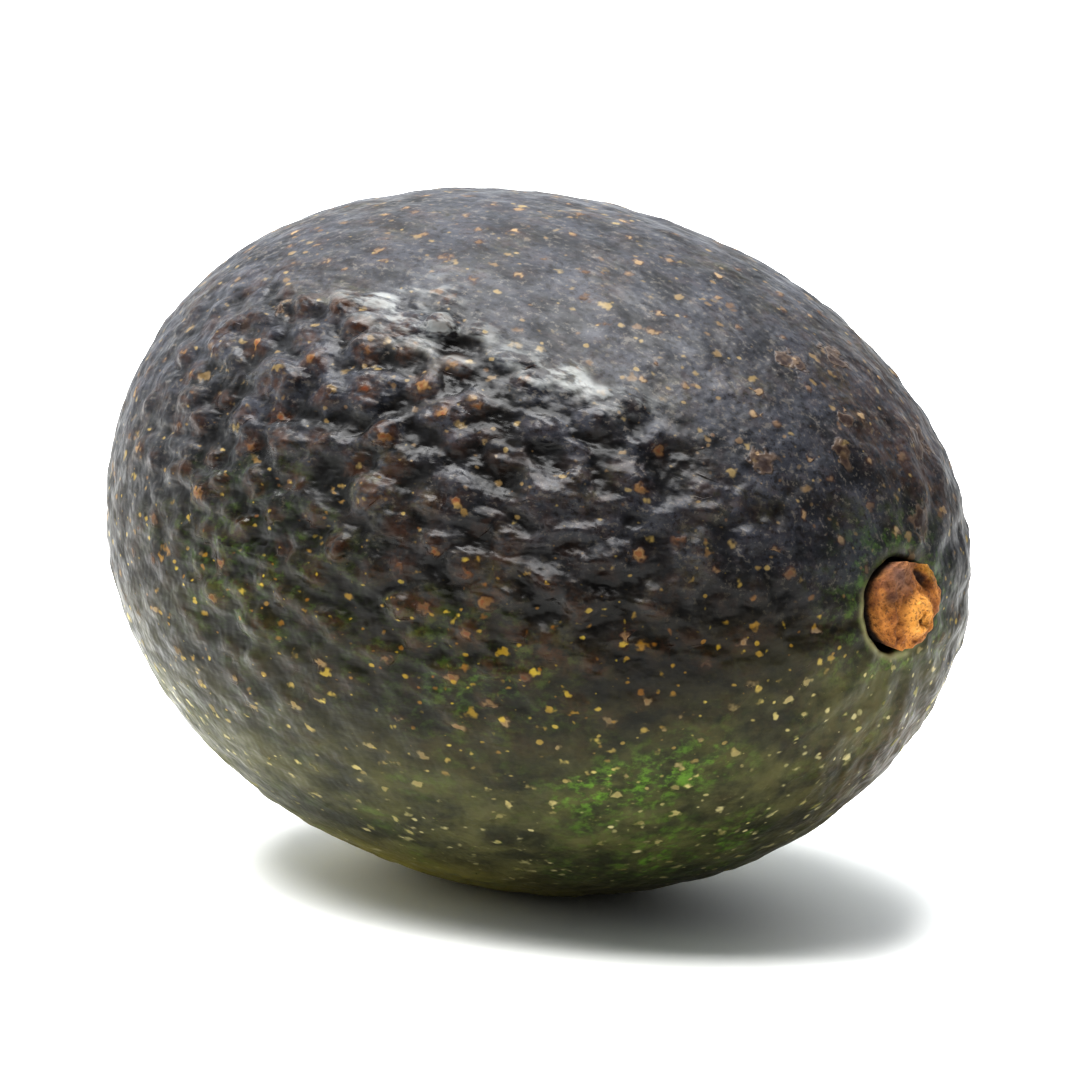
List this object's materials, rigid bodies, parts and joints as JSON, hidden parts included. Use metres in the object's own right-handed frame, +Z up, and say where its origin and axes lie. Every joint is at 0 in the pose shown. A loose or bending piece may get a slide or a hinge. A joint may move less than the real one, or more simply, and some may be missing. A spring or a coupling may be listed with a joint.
{
  "type": "avocado",
  "caption": "Whole ripe avocado of the dark pebbled kind, egg-shaped, lying on its side on a small flat spot, with the corky button of its stem in the fruit.",
  "frame": {"origin": "middle of the bounding box in X and Y, on the ground", "axes": "+X along the fruit towards the stem, +Y to the left of it, +Z up"},
  "size_m": [0.101, 0.071, 0.0698],
  "materials": {
    "dark_skin": "waxy, leathery purple-black fruit skin with green showing through, semi-gloss",
    "stem_cork": "dry orange-tan cork, matt"
  },
  "bodies": {
    "root": {"fruit": "dark_skin", "stem_button": "stem_cork"}
  },
  "joints": []
}
